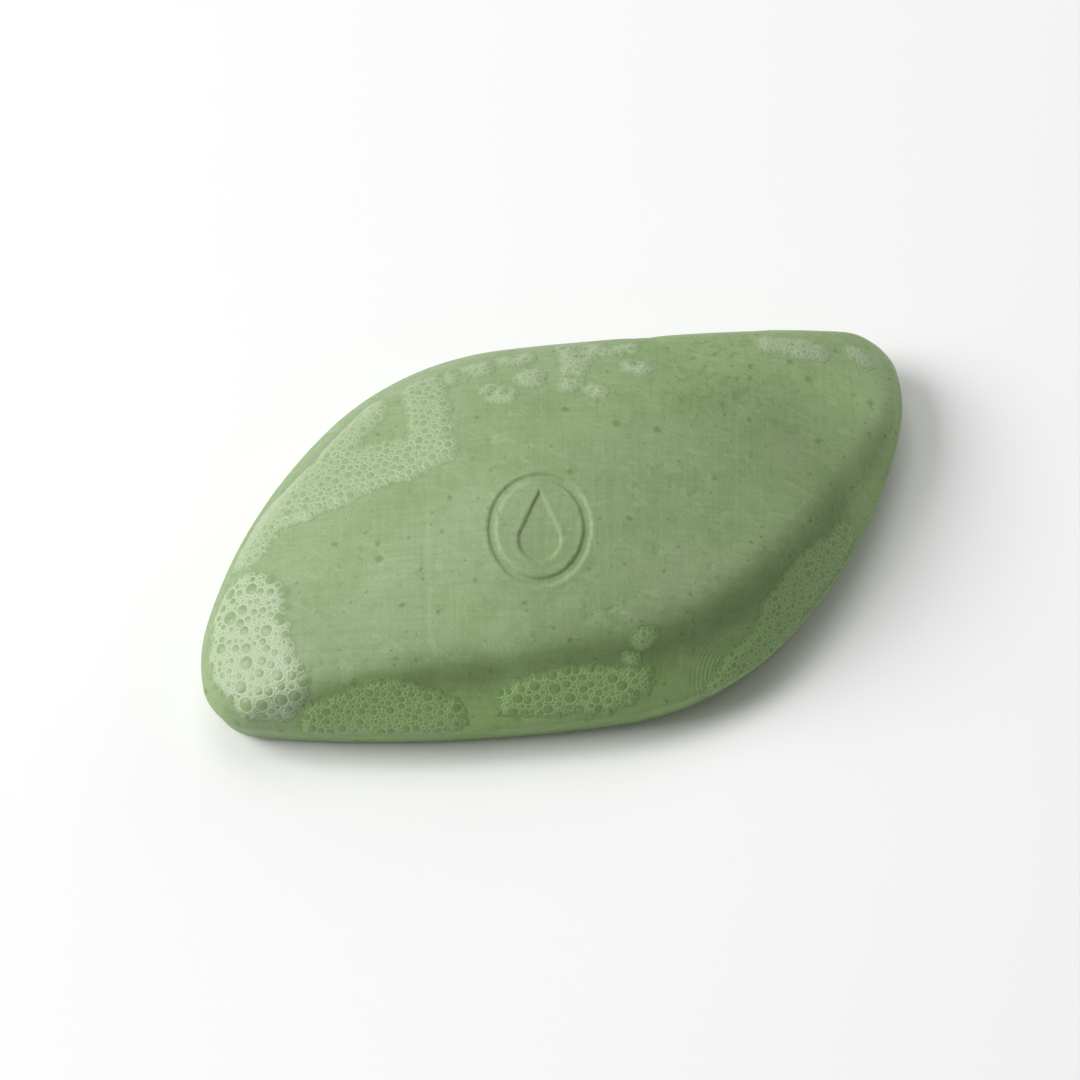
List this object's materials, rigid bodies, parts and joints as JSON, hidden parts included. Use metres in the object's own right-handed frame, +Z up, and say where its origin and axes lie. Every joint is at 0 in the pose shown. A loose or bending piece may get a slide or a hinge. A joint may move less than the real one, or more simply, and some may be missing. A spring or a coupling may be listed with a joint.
{
  "type": "shaving soap bar",
  "caption": "Leaf-shaped stamped bar of shaving soap with a crowned top face, a concave flank, a flared belt and patches of wet lather clinging to it.",
  "frame": {"origin": "bottom centre of the bar's box, on the surface that it rests on", "axes": "+X along the bar from the left tip to the right tip, +Z up through the stamped top face"},
  "size_m": [0.0968, 0.0582, 0.0218],
  "materials": {
    "soap": "opaque pale green milled soap, waxy satin surface with fine drag streaks, pits and darker specks",
    "lather": "wet foam, one layer of small clear bubbles with pale walls over the green soap"
  },
  "bodies": {
    "root": {"soap_bar": "soap", "lather_left_end": "lather", "lather_lower_left": "lather", "lather_front_middle": "lather", "lather_right_flank": "lather", "lather_upper_left": "lather", "lather_edge_1": "lather", "lather_edge_2": "lather", "lather_edge_3": "lather", "lather_edge_4": "lather", "lather_edge_5": "lather", "lather_edge_6": "lather", "lather_edge_7": "lather", "lather_top_right": "lather", "lather_right_tip": "lather", "lather_speck_1": "lather", "lather_speck_2": "lather"}
  },
  "joints": []
}
